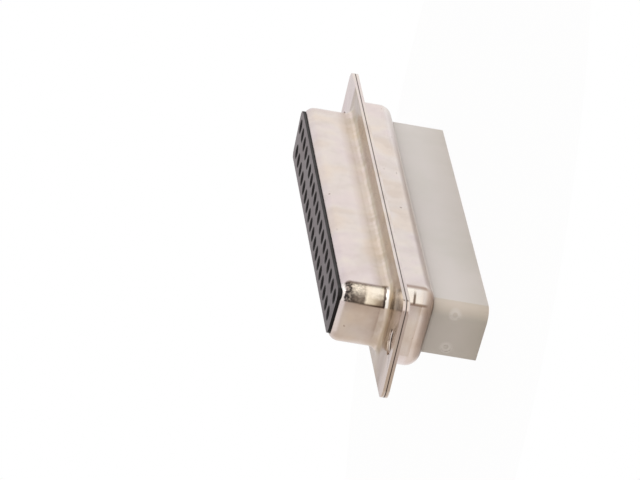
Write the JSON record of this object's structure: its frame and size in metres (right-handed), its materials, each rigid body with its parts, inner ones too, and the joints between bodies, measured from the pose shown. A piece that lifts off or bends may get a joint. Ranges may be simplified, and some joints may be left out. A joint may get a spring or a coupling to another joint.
{
  "type": "d-subminiature socket connector",
  "caption": "Socket connector with a D-shaped drawn steel shell, two-hole flange, dark socket face and a pale rear block for crimp contacts.",
  "frame": {"origin": "midway between the two mounting holes, on the front plane of the mounting flange", "axes": "+Z points out of the socket face, along which a plug leaves; +X runs along the rows of contacts; +Y points from the narrow row to the wide row"},
  "size_m": [0.0694, 0.0126, 0.0179],
  "materials": {
    "nickel_steel": "satin nickel plate on drawn steel, burnished at the drawn corners",
    "dark_insulator": "moulded glass-filled polyester, fine matt",
    "pale_insulator": "moulded glass-filled polyester, fine matt",
    "stainless": "thin rolled stainless sleeve",
    "spring_bronze": "stamped beryllium copper",
    "gold_plating": "turned brass with a thin gold plate"
  },
  "bodies": {
    "root": {"front_shell": "nickel_steel", "rear_shell": "nickel_steel", "front_insulator": "dark_insulator", "rear_insulator": "pale_insulator", "contact_hoods": "stainless", "retention_clips": "spring_bronze", "socket_contact_01": "gold_plating", "socket_contact_02": "gold_plating", "socket_contact_03": "gold_plating", "socket_contact_04": "gold_plating", "socket_contact_05": "gold_plating", "socket_contact_06": "gold_plating", "socket_contact_07": "gold_plating", "socket_contact_08": "gold_plating", "socket_contact_09": "gold_plating", "socket_contact_10": "gold_plating", "socket_contact_11": "gold_plating", "socket_contact_12": "gold_plating", "socket_contact_13": "gold_plating", "socket_contact_14": "gold_plating", "socket_contact_15": "gold_plating", "socket_contact_16": "gold_plating", "socket_contact_17": "gold_plating", "socket_contact_18": "gold_plating", "socket_contact_19": "gold_plating", "socket_contact_20": "gold_plating", "socket_contact_21": "gold_plating", "socket_contact_22": "gold_plating", "socket_contact_23": "gold_plating", "socket_contact_24": "gold_plating", "socket_contact_25": "gold_plating", "socket_contact_26": "gold_plating", "socket_contact_27": "gold_plating", "socket_contact_28": "gold_plating", "socket_contact_29": "gold_plating", "socket_contact_30": "gold_plating", "socket_contact_31": "gold_plating", "socket_contact_32": "gold_plating", "socket_contact_33": "gold_plating", "socket_contact_34": "gold_plating", "socket_contact_35": "gold_plating", "socket_contact_36": "gold_plating", "socket_contact_37": "gold_plating"}
  },
  "joints": []
}
